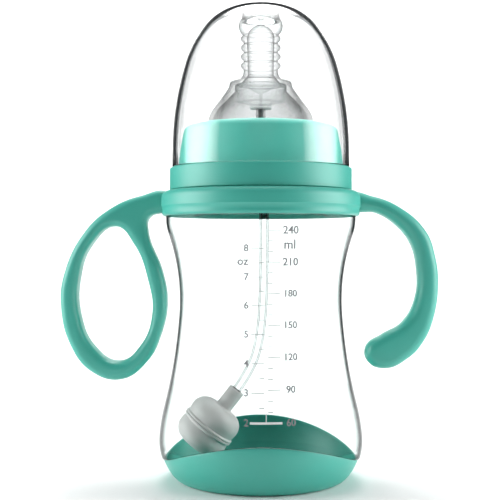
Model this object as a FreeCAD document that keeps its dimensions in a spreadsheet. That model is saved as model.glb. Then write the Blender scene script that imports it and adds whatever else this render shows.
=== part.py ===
"""Baby bottle with a travel cap, two handles and a weighted straw, in millimetres.

The origin is the middle of the face it stands on, +Z runs up the bottle's axis, the closed
loop handle reaches towards -X and the open hook handle towards +X.
"""
import FreeCAD, Part
import math
import os
import re

import Sketcher

Vector = FreeCAD.Vector
Rotation = FreeCAD.Rotation

SIZES = {
    # Bottle body
    "body_wall": 1.5,
    "floor_top": 8.5,
    "punt_inset": 13.5,
    "floor_thickness": 2.4,
    "belly_radius": 36.8,
    "belly_height": 16.0,
    "hip_inset": 1.85,
    "hip_height": 27.0,
    "inner_side_top": 22.3,
    "inner_hip_inset": 2.25,
    "inner_hip_height": 29.0,
    "waist_radius": 29.7,
    "waist_height": 59.0,
    "chest_inset": 0.8,
    "chest_drop": 8.3,
    "shoulder_ledge": 6.3,
    "shoulder_top": 96.8,
    "shoulder_chamfer": 0.8,
    # Neck and its thread
    "neck_radius": 24.6,
    "neck_wall": 1.8,
    "neck_height": 26.7,
    "thread_pitch": 5.0,
    "thread_turns": 1.5,
    "thread_depth": 1.1,
    "thread_crest": 1.1,
    "thread_root": 2.0,
    "thread_rise": 5.6,
    "thread_clearance": 0.4,
    # Base cup
    "cup_wall": 1.0,
    "cup_floor": 2.0,
    "cup_foot_inset": 7.9,
    "cup_heel_inset": 4.6,
    "cup_heel_height": 1.7,
    "cup_inset": 0.5,
    "cup_edge_front": 17.5,
    "cup_edge_side": 7.5,
    "cup_clearance": 0.05,
    "seam_gap": 0.1,
    # Handle ring, loop and hook
    "ring_height": 7.2,
    "ring_skirt": 2.0,
    "skirt_clearance": 0.4,
    "ring_reach": 8.2,
    "ring_round": 2.2,
    "land_step": 3.4,
    "running_clearance": 0.08,
    "stack_gap": 0.2,
    "handle_sink": 3.2,
    "handle_round": 2.0,
    "arm_drop": 1.1,
    "loop_reach": 72.1,
    "loop_height": 66.9,
    "loop_depth": 11.0,
    "hook_reach": 64.2,
    "hook_height": 63.2,
    "hook_depth": 10.0,
    # Screw collar
    "band_reach": 6.9,
    "band_height": 7.9,
    "band_wall": 1.8,
    "taper_foot_wall": 4.1,
    "taper_head_wall": 1.9,
    "collar_round": 2.4,
    "seal_gap": 0.05,
    "collar_roof": 2.0,
    "roof_reach": 4.7,
    # Teat
    "flange_thickness": 2.0,
    "flange_overhang": 0.3,
    "teat_wall": 1.6,
    "opening_clearance": 0.5,
    "teat_hip_inset": 2.6,
    "teat_hip_rise": 7.0,
    "teat_bead": 11.0,
    "bead_rise": 15.4,
    "flare_inset": 1.6,
    "stalk_radius": 6.3,
    "stalk_rise": 4.8,
    "tip_radius": 6.6,
    "tip_rise": 23.0,
    "rib_radius": 0.95,
    "rib_count": 4.0,
    "rib_pitch": 3.3,
    "rib_rise": 6.6,
    "feed_hole": 0.9,
    "vent_hole": 1.6,
    "throat_drop": 0.4,
    "throat_lip": 1.8,
    # Straw connector and straw
    "connector_clearance": 0.05,
    "connector_lip": 2.4,
    "connector_skirt_inset": 0.55,
    "connector_drop": 6.6,
    "connector_dish": 3.2,
    "connector_mouth_inset": 2.85,
    "hub_radius": 4.0,
    "hub_drop": 9.0,
    "spigot_length": 7.0,
    "spigot_wall": 0.45,
    "straw_outer": 3.4,
    "straw_wall": 0.6,
    "straw_fit": 0.05,
    "straw_gap": 0.1,
    "straw_drop": 14.9,
    # Weighted end
    "weight_radius": 9.8,
    "weight_flat": 1.1,
    "weight_wall": 1.5,
    "weight_rim": 0.25,
    "weight_rim_height": 0.8,
    "weight_side_gap": 4.95,
    "weight_tilt": 38.0,
    "weight_floor_gap": 0.4,
    "stem_wall": 1.25,
    "stem_length": 8.2,
    "stem_socket": 5.5,
    "inlet_width": 1.6,
    "inlet_length": 8.0,
    "core_clearance": 0.3,
    "core_bore": 3.4,
    # Travel cap
    "cap_step": 0.8,
    "cap_wall": 1.35,
    "cap_headroom": 5.4,
    "cap_crown_radius": 6.0,
    "cap_brow_inset": 11.2,
    "cap_brow_drop": 8.2,
    "cap_cheek_inset": 4.4,
    "cap_cheek_drop": 21.9,
    "cap_side_rise": 5.4,
    "cap_gap": 0.3,
    "cap_ring_outer": 14.0,
    "cap_ring_wall": 1.0,
    "cap_ring_depth": 4.4,
    "cap_dimple": 4.8,
    "cap_dimple_depth": 0.5,
}

DOC = FreeCAD.newDocument("BabyBottle")
SHEET = DOC.addObject("Spreadsheet::Sheet", "Sizes")


def fill_sheet():
    for row, (name, value) in enumerate(SIZES.items(), start=1):
        SHEET.set(f"A{row}", name)
        SHEET.set(f"B{row}", str(value))
        SHEET.setAlias(f"B{row}", name)
    DOC.recompute()


def bound(expression):
    """An expression as another object reads it: <name> is the sheet's cell of that name."""
    return re.sub(r"<(\w+)>", r"Sizes.\1", expression)


def size(expression):
    """The number that an expression on the sheet gives now."""
    value = SHEET.evalExpression(bound(expression))
    return float(getattr(value, "Value", value))


# Heights and radii that several pieces share, each worked out from the sheet.
CUP_RADIUS = "(<belly_radius> - <cup_inset>)"
CUP_FOOT = f"({CUP_RADIUS} - <cup_foot_inset>)"
CUP_HEEL = f"({CUP_RADIUS} - <cup_heel_inset>)"
CUP_WAVE = "(<cup_edge_front> - <cup_edge_side>)"
WAVE_RADIUS = f"({CUP_RADIUS} * {CUP_RADIUS} + {CUP_WAVE} * {CUP_WAVE}) / (2 * {CUP_WAVE})"
ROOM_RADIUS = f"({CUP_RADIUS} - <cup_wall> - <cup_clearance> - <body_wall>)"
HIP_RADIUS = "(<belly_radius> - <hip_inset>)"
LAND_RADIUS = "(<neck_radius> + <land_step>)"
SHOULDER_RADIUS = f"({LAND_RADIUS} + <shoulder_ledge>)"
NECK_TOP = "(<shoulder_top> + <neck_height>)"
RING_RADIUS = f"({LAND_RADIUS} + <ring_reach>)"
RING_LOW = "(<shoulder_top> + <stack_gap>)"
RING_TOP = f"({RING_LOW} + <ring_height>)"
COLLAR_LOW = f"({RING_TOP} + <stack_gap>)"
THREAD_START = f"({COLLAR_LOW} + <thread_rise>)"
BAND_TOP = f"({COLLAR_LOW} + <band_height>)"
COLLAR_INSIDE = "(<neck_radius> + <thread_depth> + <thread_clearance>)"
BAND_RADIUS = f"({COLLAR_INSIDE} + <band_reach>)"
TAPER_HEAD = f"({COLLAR_INSIDE} + <taper_head_wall>)"
COLLAR_OPENING = "(<neck_radius> - <roof_reach>)"
FLANGE_LOW = f"({NECK_TOP} + <seal_gap>)"
FLANGE_TOP = f"({FLANGE_LOW} + <flange_thickness>)"
COLLAR_ROOF = f"({FLANGE_TOP} + <seal_gap>)"
COLLAR_TOP = f"({COLLAR_ROOF} + <collar_roof>)"
TEAT_ROOT = f"({COLLAR_OPENING} - <opening_clearance>)"
TEAT_HIP = f"({TEAT_ROOT} - <teat_hip_inset>)"
TEAT_HIP_HEIGHT = f"({COLLAR_TOP} + <teat_hip_rise>)"
BEAD_HEIGHT = f"({COLLAR_TOP} + <bead_rise>)"
STALK_HEIGHT = f"({BEAD_HEIGHT} + <stalk_rise>)"
TIP_TOP = f"({BEAD_HEIGHT} + <tip_rise>)"
TIP_CENTRE = f"({TIP_TOP} - <tip_radius>)"
RIB_FIRST = f"({BEAD_HEIGHT} + <rib_rise>)"
THROAT = "(<teat_bead> - <teat_wall>)"
CONNECTOR_RADIUS = f"({THROAT} - <connector_clearance>)"
CONNECTOR_TOP = f"({BEAD_HEIGHT} - <throat_drop>)"
CONNECTOR_LIP = f"({CONNECTOR_TOP} - <connector_lip>)"
CONNECTOR_LOW = f"({BEAD_HEIGHT} - <connector_drop>)"
HUB_LOW = f"({BEAD_HEIGHT} - <hub_drop>)"
SPIGOT_LOW = f"({HUB_LOW} - <spigot_length>)"
STRAW_TOP = f"({HUB_LOW} - <straw_gap>)"
BORE_RADIUS = "(<straw_outer> / 2 - <straw_wall>)"
SPIGOT_RADIUS = f"({BORE_RADIUS} - <straw_fit>)"
SOCKET_RADIUS = "(<straw_outer> / 2 + <straw_fit>)"
STEM_RADIUS = f"({SOCKET_RADIUS} + <stem_wall>)"
WEIGHT_HALF = "(<weight_radius> - <weight_flat>)"
STEM_REACH = f"({WEIGHT_HALF} + <stem_length>)"
WEIGHT_OUT = f"({ROOM_RADIUS} - <weight_radius> - <weight_side_gap>)"
WEIGHT_HEIGHT = "(<floor_top> + <weight_radius> + <weight_floor_gap>)"
CAP_LOW = f"({BAND_TOP} + <cap_gap>)"
CAP_TOP = f"({TIP_TOP} + <cap_headroom>)"
CAP_RADIUS = f"({BAND_RADIUS} - <cap_step>)"
CAP_SIDE = f"({CAP_LOW} + <cap_side_rise>)"
CAP_CHEEK = f"({CAP_RADIUS} - <cap_cheek_inset>)"
CAP_CHEEK_HEIGHT = f"({CAP_TOP} - <cap_cheek_drop>)"
CAP_BROW = f"({CAP_RADIUS} - <cap_brow_inset>)"
CAP_BROW_HEIGHT = f"({CAP_TOP} - <cap_brow_drop>)"
CAP_RING = "(<cap_ring_outer> / 2)"


def new_body(label):
    body = DOC.addObject("PartDesign::Body", label)
    body.Label = label
    return body


def origin_plane(body, role):
    return next(feature for feature in body.Origin.OriginFeatures if feature.Role == role)


def new_sketch(body, name, role="XZ_Plane"):
    sketch = body.newObject("Sketcher::SketchObject", name)
    sketch.AttachmentSupport = [(origin_plane(body, role), "")]
    sketch.MapMode = "FlatFace"
    return sketch


def pin(sketch, geometry, point, across, along):
    """Holds one point of a sketch at two expressions on the sheet."""
    for kind, expression in (("DistanceX", across), ("DistanceY", along)):
        value = size(expression)
        constraint = Sketcher.Constraint(kind, -1, 1, geometry, point, value)
        sketch.setExpression(f"Constraints[{sketch.addConstraint(constraint)}]", bound(expression))


def tangent_arc(start, heading, end):
    """The arc that leaves start along heading and ends at end, and its heading there."""
    chord = end - start
    normal = Vector(-heading.y, heading.x, 0)
    reach = chord.Length ** 2 / (2 * chord.dot(normal))
    centre = start + normal * reach
    turn = 2 * math.atan2(chord.dot(normal), chord.dot(heading))
    middle = centre + Rotation(Vector(0, 0, 1), math.degrees(turn / 2)).multVec(start - centre)
    leaving = Rotation(Vector(0, 0, 1), math.degrees(turn)).multVec(heading)
    return Part.Arc(start, middle, end), leaving


def outline(sketch, points):
    """Draws a closed outline. Each point is (across, along) or (across, along, "arc"), where
    the arc carries straight on from the edge before it, and each is bound to the sheet."""
    places = [Vector(size(across), size(along), 0) for across, along, *_ in points]
    heading = None
    for number in range(1, len(points) + 1):
        start = places[number - 1]
        end = places[number % len(points)]
        if number < len(points) and len(points[number]) > 2:
            edge, heading = tangent_arc(start, heading, end)
            sketch.addGeometry(edge)
        else:
            sketch.addGeometry(Part.LineSegment(start, end))
            heading = (end - start).normalize()
    ends = [edge_ends(sketch, number, places) for number in range(len(points))]
    for number in range(len(points)):
        following = (number + 1) % len(points)
        arc_next = len(points[(following + 1) % len(points)]) > 2 and following + 1 < len(points)
        kind = "Tangent" if arc_next else "Coincident"
        join = Sketcher.Constraint(kind, number, ends[number][1], following, ends[following][0])
        sketch.addConstraint(join)
    for number, (across, along, *_) in enumerate(points):
        pin(sketch, number, ends[number][0], across, along)


def edge_ends(sketch, number, places):
    """Which end of an edge is its start on the outline: an arc may run the other way."""
    first = sketch.getPoint(number, 1)
    return (1, 2) if first.distanceToPoint(places[number]) < 1e-6 else (2, 1)


def revolve(body, name, points, kind="PartDesign::Revolution"):
    """Turns an outline of (radius, height) points once round the bottle's axis."""
    sketch = new_sketch(body, f"{name}_outline")
    outline(sketch, points)
    DOC.recompute()
    feature = body.newObject(kind, name)
    feature.Profile = sketch
    feature.ReferenceAxis = (sketch, ["V_Axis"])
    feature.Angle = 360
    DOC.recompute()
    return feature


def helix(body, name, points):
    """Adds a ridge of the outline's section that climbs round the axis."""
    sketch = new_sketch(body, f"{name}_section")
    outline(sketch, points)
    DOC.recompute()
    feature = body.newObject("PartDesign::AdditiveHelix", name)
    feature.Profile = sketch
    feature.ReferenceAxis = (sketch, ["V_Axis"])
    feature.Mode = "pitch-turns-angle"
    feature.setExpression("Pitch", bound("<thread_pitch>"))
    feature.setExpression("Turns", bound("<thread_turns>"))
    DOC.recompute()
    return feature


def primitive(kind, name, sizes, placement=None):
    """A Part primitive whose properties are bound to the sheet."""
    thing = DOC.addObject(kind, name)
    for key, expression in sizes.items():
        thing.setExpression(key, bound(expression))
    if placement:
        thing.Placement = placement
    DOC.recompute()
    return thing


def boolean(kind, label, base, tool):
    thing = DOC.addObject(kind, label)
    thing.Label = label
    thing.Base = base
    thing.Tool = tool
    DOC.recompute()
    return thing


def wave_cylinder(name, gap):
    """A long cylinder lying along Y: what it holds of the cup has a wavy upper edge."""
    length = 120
    middle = size(f"<cup_edge_front> - {WAVE_RADIUS}")
    placement = FreeCAD.Placement(Vector(0, length / 2, middle), Rotation(Vector(1, 0, 0), 90))
    cutter = primitive("Part::Cylinder", name, {"Radius": f"{WAVE_RADIUS} - {gap}"}, placement)
    cutter.Height = length
    return cutter


def cup_face(inset, floor):
    """The cup's outer face, moved inwards by inset, from its foot on a floor to past its edge."""
    return [
        (f"{CUP_FOOT} - {inset} / 2", floor),
        (f"{CUP_HEEL} - {inset} * 0.8", f"<cup_heel_height> + {floor}", "arc"),
        (f"{CUP_RADIUS} - {inset}", "<belly_height>", "arc"),
        (f"{CUP_RADIUS} - {inset}", "<cup_edge_front> + 2"),
    ]


def cup_filling(name, inset, floor):
    """The solid that the cup's outer face holds when it is moved inwards by inset."""
    body = new_body(name)
    revolve(body, "filling", [("0", floor), *cup_face(inset, floor), ("0", "<cup_edge_front> + 2")])
    return body


def bottle_waist(inset):
    """The hollow of the side from the waist to the chest, moved inwards by inset."""
    return [
        (f"<waist_radius> - {inset}", "<waist_height>", "arc"),
        (f"{SHOULDER_RADIUS} - <chest_inset> - {inset}", "<shoulder_top> - <chest_drop>", "arc"),
    ]


def thread_section(radius, depth, height):
    """A blunt tooth on a wall of a radius. A negative depth points it at the axis."""
    root = f"{radius} - {depth} / 4"
    crest = f"{radius} + {depth}"
    return [
        (root, f"{height} - <thread_root> / 2"),
        (crest, f"{height} - <thread_crest> / 2"),
        (crest, f"{height} + <thread_crest> / 2"),
        (root, f"{height} + <thread_root> / 2"),
    ]


def bottle_body():
    blank = new_body("bottle_blank")
    revolve(blank, "walls", [
        ("0", "0"),
        (CUP_FOOT, "0"),
        (f"{CUP_HEEL} + <cup_inset>", "<cup_heel_height>", "arc"),
        ("<belly_radius>", "<belly_height>", "arc"),
        (HIP_RADIUS, "<hip_height>", "arc"),
        *bottle_waist("0"),
        (SHOULDER_RADIUS, "<shoulder_top> - <shoulder_chamfer>", "arc"),
        (f"{SHOULDER_RADIUS} - <shoulder_chamfer>", "<shoulder_top>"),
        (LAND_RADIUS, "<shoulder_top>"),
        (LAND_RADIUS, RING_TOP),
        ("<neck_radius>", RING_TOP),
        ("<neck_radius>", NECK_TOP),
        ("0", NECK_TOP),
    ])
    roof = "<shoulder_top> - <body_wall> * 1.2"
    bore = "<neck_radius> - <neck_wall>"
    inner_shoulder = f"{SHOULDER_RADIUS} - <body_wall>"
    revolve(blank, "inside", [
        ("0", "<floor_top>"),
        (f"{ROOM_RADIUS} - (<belly_height> - <floor_top>)", "<floor_top>"),
        (ROOM_RADIUS, "<belly_height>", "arc"),
        (ROOM_RADIUS, "<inner_side_top>"),
        (f"{HIP_RADIUS} - <inner_hip_inset>", "<inner_hip_height>", "arc"),
        *bottle_waist("<body_wall>"),
        (inner_shoulder, f"{roof} - 1.2", "arc"),
        (f"{inner_shoulder} - 1.2", roof),
        (f"{bore} + <body_wall>", roof),
        (bore, "<shoulder_top>"),
        (bore, f"{NECK_TOP} + 1"),
        ("0", f"{NECK_TOP} + 1"),
    ], "PartDesign::Groove")
    revolve(blank, "punt", [
        ("0", "0"),
        (f"{CUP_RADIUS} - <punt_inset>", "0"),
        (f"{CUP_RADIUS} - <punt_inset> - 2", "<floor_top> - <floor_thickness>"),
        ("0", "<floor_top> - <floor_thickness>"),
    ], "PartDesign::Groove")
    tooth = thread_section("<neck_radius>", "<thread_depth>", THREAD_START)
    helix(blank, "neck_thread", tooth)
    around = primitive("Part::Cylinder", "around_cup", {
        "Radius": "<belly_radius> + 4",
        "Height": "<cup_edge_front> + 2",
    })
    seat = cup_filling("cup_seat", "(<cup_wall> + <cup_clearance>)", "<cup_floor>")
    outside = boolean("Part::Cut", "outside_seat", around, seat)
    recess = boolean("Part::Common", "cup_recess", outside, wave_cylinder("recess_wave", "0"))
    return boolean("Part::Cut", "bottle_body", blank, recess)


def base_cup():
    solid = cup_filling("cup_blank", "0", "0")
    cavity = cup_filling("cup_cavity", "<cup_wall>", "<cup_floor>")
    shell = boolean("Part::Cut", "cup_shell", solid, cavity)
    return boolean("Part::Common", "base_cup", shell, wave_cylinder("cup_wave", "<seam_gap>"))


def handle_plate(name, side, reach, height, depth, edge, hole=()):
    """A flat handle with rounded edges. Its outline runs through points that are given as shares
    of the way out from the ring and of the way down from the arm, on one side of the ring."""
    body = new_body(name)
    sketch = new_sketch(body, f"{name}_outline")
    root = size(f"{RING_RADIUS} - <handle_sink>")
    top = size(f"{RING_TOP} - <arm_drop>")
    out = size(reach) - root
    down = size(height)

    def place(share):
        return Vector(side * (root + share[0] * out), top - share[1] * down, 0)

    rim = Part.BSplineCurve()
    rim.interpolate([place(share) for share in edge])
    sketch.addGeometry(rim)
    sketch.addGeometry(Part.LineSegment(place(edge[-1]), place(edge[0])))
    if hole:
        inner = Part.BSplineCurve()
        inner.interpolate([place(share) for share in hole], PeriodicFlag=True)
        sketch.addGeometry(inner)
    DOC.recompute()
    pad = body.newObject("PartDesign::Pad", f"{name}_pad")
    pad.Profile = sketch
    pad.Midplane = True
    pad.setExpression("Length", bound(depth))
    DOC.recompute()
    rounding = body.newObject("PartDesign::Fillet", f"{name}_rounding")
    rims = [number for number, rim in enumerate(pad.Shape.Edges, 1) if rim.BoundBox.YLength < 1]
    rounding.Base = (pad, [f"Edge{number}" for number in rims])
    rounding.setExpression("Radius", bound("<handle_round>"))
    DOC.recompute()
    return body


def handle_frame():
    ring = new_body("handle_ring")
    bore = f"{LAND_RADIUS} + <running_clearance>"
    skirt = f"{SHOULDER_RADIUS} + <skirt_clearance>"
    revolve(ring, "ring", [
        (bore, RING_LOW),
        (skirt, RING_LOW),
        (skirt, f"{RING_LOW} - <ring_skirt>"),
        (f"{RING_RADIUS} - 0.7", f"{RING_LOW} - <ring_skirt>"),
        (RING_RADIUS, f"{RING_LOW} - <ring_skirt> + <ring_round>"),
        (RING_RADIUS, f"{RING_TOP} - <ring_round>"),
        (f"{RING_RADIUS} - <ring_round>", RING_TOP, "arc"),
        (bore, RING_TOP),
    ])
    loop = handle_plate("loop_handle", -1, "<loop_reach>", "<loop_height>", "<loop_depth>", [
        (0, 0), (0.27, 0.012), (0.555, 0.084), (0.78, 0.205), (0.972, 0.436), (1, 0.6),
        (0.903, 0.825), (0.719, 0.957), (0.448, 1), (0.215, 0.912), (0.077, 0.756),
        (0.023, 0.581), (0.069, 0.417), (0.2, 0.205), (0.19, 0.13), (0, 0.08),
    ], [
        (0.496, 0.176), (0.719, 0.271), (0.839, 0.466), (0.829, 0.662), (0.703, 0.825),
        (0.476, 0.904), (0.271, 0.819), (0.159, 0.644), (0.197, 0.466), (0.327, 0.271),
    ])
    hook = handle_plate("hook_handle", 1, "<hook_reach>", "<hook_height>", "<hook_depth>", [
        (0, 0), (0.22, 0.01), (0.555, 0.076), (0.859, 0.214), (0.965, 0.354), (1, 0.5),
        (0.952, 0.7), (0.837, 0.84), (0.647, 0.943), (0.369, 1), (0.18, 0.957),
        (0.17, 0.873), (0.356, 0.805), (0.59, 0.735), (0.74, 0.597), (0.756, 0.427),
        (0.683, 0.284), (0.519, 0.181), (0.298, 0.111), (0, 0.08),
    ])
    fused = DOC.addObject("Part::MultiFuse", "handle_frame")
    fused.Label = "handle_frame"
    fused.Shapes = [ring, loop, hook]
    DOC.recompute()
    return fused


def collar():
    body = new_body("collar")
    skirt = f"{COLLAR_INSIDE} + <band_wall>"
    hollow = f"{BAND_TOP} - <band_wall>"
    revolve(body, "shell", [
        (COLLAR_INSIDE, COLLAR_LOW),
        (skirt, COLLAR_LOW),
        (skirt, hollow),
        (f"{BAND_RADIUS} - <band_wall>", hollow),
        (f"{BAND_RADIUS} - <band_wall>", COLLAR_LOW),
        (BAND_RADIUS, COLLAR_LOW),
        (BAND_RADIUS, BAND_TOP),
        (f"{COLLAR_INSIDE} + <taper_foot_wall>", BAND_TOP),
        (TAPER_HEAD, f"{COLLAR_TOP} - <collar_round>"),
        (f"{TAPER_HEAD} - <collar_round>", COLLAR_TOP, "arc"),
        (COLLAR_OPENING, COLLAR_TOP),
        (COLLAR_OPENING, COLLAR_ROOF),
        (COLLAR_INSIDE, COLLAR_ROOF),
    ])
    tooth = thread_section(COLLAR_INSIDE, "-<thread_depth>", f"({THREAD_START} - <thread_pitch> / 2)")
    helix(body, "collar_thread", tooth)
    return body


def teat():
    body = new_body("teat")
    revolve(body, "outside", [
        ("0", FLANGE_LOW),
        ("<neck_radius> + <flange_overhang>", FLANGE_LOW),
        ("<neck_radius> + <flange_overhang>", FLANGE_TOP),
        (TEAT_ROOT, FLANGE_TOP),
        (TEAT_ROOT, COLLAR_TOP),
        (TEAT_HIP, TEAT_HIP_HEIGHT, "arc"),
        ("<teat_bead> + 0.3", f"{BEAD_HEIGHT} - 1.2"),
        ("<teat_bead>", f"{BEAD_HEIGHT} + 0.4"),
        ("<teat_bead> - <flare_inset>", f"{BEAD_HEIGHT} + 0.9"),
        ("<stalk_radius>", STALK_HEIGHT, "arc"),
        ("<tip_radius>", TIP_CENTRE),
        ("0", TIP_TOP, "arc"),
    ])
    revolve(body, "inside", [
        ("0", f"{FLANGE_LOW} - 1"),
        (f"{TEAT_ROOT} - <teat_wall>", f"{FLANGE_LOW} - 1"),
        (f"{TEAT_ROOT} - <teat_wall>", COLLAR_TOP),
        (f"{TEAT_HIP} - <teat_wall>", f"{TEAT_HIP_HEIGHT} - 0.4", "arc"),
        (THROAT, CONNECTOR_LIP),
        (THROAT, CONNECTOR_TOP),
        (f"{THROAT} - <throat_lip>", CONNECTOR_TOP),
        ("<stalk_radius> - <teat_wall>", f"{STALK_HEIGHT} - <teat_wall>"),
        ("<tip_radius> - <teat_wall>", TIP_CENTRE),
        ("0", f"{TIP_TOP} - <teat_wall>", "arc"),
    ], "PartDesign::Groove")
    ridge = new_sketch(body, "rib_section")
    ridge.addGeometry(Part.Circle(Vector(size("<stalk_radius>"), size(RIB_FIRST), 0),
                                  Vector(0, 0, 1), size("<rib_radius>")))
    pin(ridge, 0, 3, "<stalk_radius>", RIB_FIRST)
    radius = ridge.addConstraint(Sketcher.Constraint("Radius", 0, size("<rib_radius>")))
    ridge.setExpression(f"Constraints[{radius}]", bound("<rib_radius>"))
    DOC.recompute()
    rib = body.newObject("PartDesign::Revolution", "rib")
    rib.Profile = ridge
    rib.ReferenceAxis = (ridge, ["V_Axis"])
    rib.Angle = 360
    DOC.recompute()
    ribs = body.newObject("PartDesign::LinearPattern", "ribs")
    ribs.Originals = [rib]
    ribs.Direction = (origin_line(body, "Z_Axis"), [""])
    ribs.setExpression("Length", bound("<rib_pitch> * (<rib_count> - 1)"))
    ribs.setExpression("Occurrences", bound("<rib_count>"))
    body.Tip = ribs
    DOC.recompute()
    feed = primitive("Part::Cylinder", "feed_hole", {
        "Radius": "<feed_hole> / 2", "Height": "<teat_wall> * 3",
        "Placement.Base.z": f"{TIP_TOP} - <teat_wall> * 2",
    })
    vent = primitive("Part::Cylinder", "vent_hole", {
        "Radius": "<vent_hole> / 2", "Height": "<flange_thickness> * 3",
        "Placement.Base.x": f"({TEAT_ROOT} + <neck_radius> - <neck_wall>) / 2",
        "Placement.Base.z": f"{FLANGE_LOW} - <flange_thickness>",
    })
    pierced = boolean("Part::Cut", "pierced_teat", body, feed)
    finished = boolean("Part::Cut", "teat", pierced, vent)
    body.Label = "teat_blank"
    finished.Label = "teat"
    return finished


def origin_line(body, role):
    return next(feature for feature in body.Origin.OriginFeatures if feature.Role == role)


def straw_connector():
    body = new_body("straw_connector")
    bore = f"{SPIGOT_RADIUS} - <spigot_wall>"
    revolve(body, "plug", [
        (bore, SPIGOT_LOW),
        (SPIGOT_RADIUS, SPIGOT_LOW),
        (SPIGOT_RADIUS, HUB_LOW),
        ("<hub_radius>", HUB_LOW),
        ("<hub_radius>", CONNECTOR_LOW),
        (f"{CONNECTOR_RADIUS} - <connector_skirt_inset>", CONNECTOR_LOW),
        (f"{CONNECTOR_RADIUS} - <connector_skirt_inset>", f"{CONNECTOR_LIP} - 0.4"),
        (CONNECTOR_RADIUS, f"{CONNECTOR_LIP} + 0.1"),
        (CONNECTOR_RADIUS, CONNECTOR_TOP),
        (f"{CONNECTOR_RADIUS} - <connector_mouth_inset>", CONNECTOR_TOP),
        (bore, f"{CONNECTOR_TOP} - <connector_dish>"),
    ])
    return body


def weight_place(flip=0):
    tilt = Rotation(Vector(0, 1, 0), size("<weight_tilt>") + flip)
    return FreeCAD.Placement(Vector(-size(WEIGHT_OUT), 0, size(WEIGHT_HEIGHT)), tilt)


def weight_shell(name, stem):
    """Half of the hollow weight, open at its equator, with its pole along the body's own +Z."""
    body = new_body(name)
    top = STEM_REACH if stem else WEIGHT_HALF
    tip = [(STEM_RADIUS, WEIGHT_HALF, "arc")]
    if stem:
        tip.append((STEM_RADIUS, top))
    revolve(body, "outside", [
        ("0", "0"),
        ("<weight_radius> + <weight_rim>", "0"),
        ("<weight_radius> + <weight_rim>", "<weight_rim_height>"),
        ("<weight_radius>", "<weight_rim_height>"),
        ("<weight_radius>", "<weight_rim_height> + 0.4"),
        *tip,
        ("0", top),
    ])
    revolve(body, "inside", [
        ("0", "-1"),
        ("<weight_radius> - <weight_wall>", "-1"),
        ("<weight_radius> - <weight_wall>", "<weight_rim_height>"),
        (BORE_RADIUS, f"{WEIGHT_HALF} - <weight_wall>", "arc"),
        ("0", f"{WEIGHT_HALF} - <weight_wall>"),
    ], "PartDesign::Groove")
    return body


def weight_upper_shell():
    shell = weight_shell("weight_upper_shell", stem=True)
    revolve(shell, "socket", [
        ("0", f"{WEIGHT_HALF} - <weight_wall> - 1"),
        (BORE_RADIUS, f"{WEIGHT_HALF} - <weight_wall> - 1"),
        (BORE_RADIUS, f"{STEM_REACH} - <stem_socket>"),
        (SOCKET_RADIUS, f"{STEM_REACH} - <stem_socket>"),
        (SOCKET_RADIUS, f"{STEM_REACH} + 1"),
        ("0", f"{STEM_REACH} + 1"),
    ], "PartDesign::Groove")
    shell.Placement = weight_place()
    return shell


def weight_lower_shell():
    shell = weight_shell("lower_blank", stem=False)
    slot = primitive("Part::Box", "inlet_slot", {
        "Length": "<inlet_length>", "Width": "<inlet_width>", "Height": "<weight_wall> * 4",
        "Placement.Base.x": "-<inlet_length> / 2", "Placement.Base.y": "-<inlet_width> / 2",
        "Placement.Base.z": f"{WEIGHT_HALF} - <weight_wall> * 3",
    })
    lower = boolean("Part::Cut", "weight_lower_shell", shell, slot)
    lower.Placement = weight_place(flip=180)
    return lower


def weight_core():
    core = new_body("weight_core")
    rim = "<weight_radius> - <weight_wall> - <core_clearance>"
    flat = f"{WEIGHT_HALF} / 2"
    revolve(core, "ring", [
        ("<core_bore> / 2", f"-{flat}"),
        ("<weight_radius> / 2", f"-{flat}"),
        (rim, "-<weight_rim_height>"),
        (rim, "<weight_rim_height>"),
        ("<weight_radius> / 2", flat),
        ("<core_bore> / 2", flat),
    ])
    core.Placement = weight_place()
    return core


def straw_route():
    """The straw's corners, from under the connector's hub to the bottom of the stem's socket."""
    stem = weight_place().Rotation.multVec(Vector(0, 0, 1))
    mouth = weight_place().Base + stem * size(STEM_REACH)
    return [
        Vector(0, 0, size(STRAW_TOP)),
        Vector(0, 0, size(f"{STRAW_TOP} - <straw_drop>")),
        Vector(1.3, 0, 98),
        Vector(1.2, 0, 73),
        Vector(0.3, 0, 52.5),
        mouth + stem * 8,
        mouth - stem * size("<stem_socket>"),
    ]


def rounded_path(points):
    """Straight runs joined by arcs that touch both of them."""
    edges = []
    start = points[0]
    for before, corner, after in zip(points, points[1:], points[2:]):
        incoming = (corner - before).normalize()
        outgoing = (after - corner).normalize()
        half_turn = incoming.getAngle(outgoing) / 2
        reach = 0.45 * min((corner - before).Length, (after - corner).Length)
        radius = reach / math.tan(half_turn)
        print(f"straw bend radius {radius:.1f} mm")
        inward = (outgoing - incoming).normalize()
        middle = corner + inward * (radius / math.cos(half_turn) - radius)
        edges.append(Part.LineSegment(start, corner - incoming * reach).toShape())
        edges.append(Part.Arc(corner - incoming * reach, middle, corner + outgoing * reach).toShape())
        start = corner + outgoing * reach
    edges.append(Part.LineSegment(start, points[-1]).toShape())
    return Part.Wire(edges)


def straw():
    points = straw_route()
    path = rounded_path(points)

    def pipe(diameter):
        circle = Part.makeCircle(diameter / 2, points[0], Vector(0, 0, -1))
        return path.makePipeShell([Part.Wire(circle)], True, False)

    outer = size("<straw_outer>")
    bore = 2 * size(BORE_RADIUS)
    tube = DOC.addObject("Part::Feature", "straw")
    tube.Label = "straw"
    tube.Shape = pipe(outer).cut(pipe(bore))
    expected = math.pi / 4 * (outer ** 2 - bore ** 2) * path.Length
    print(f"straw length {path.Length:.1f} mm, volume {tube.Shape.Volume / expected:.4f} of expected")
    return tube


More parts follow.
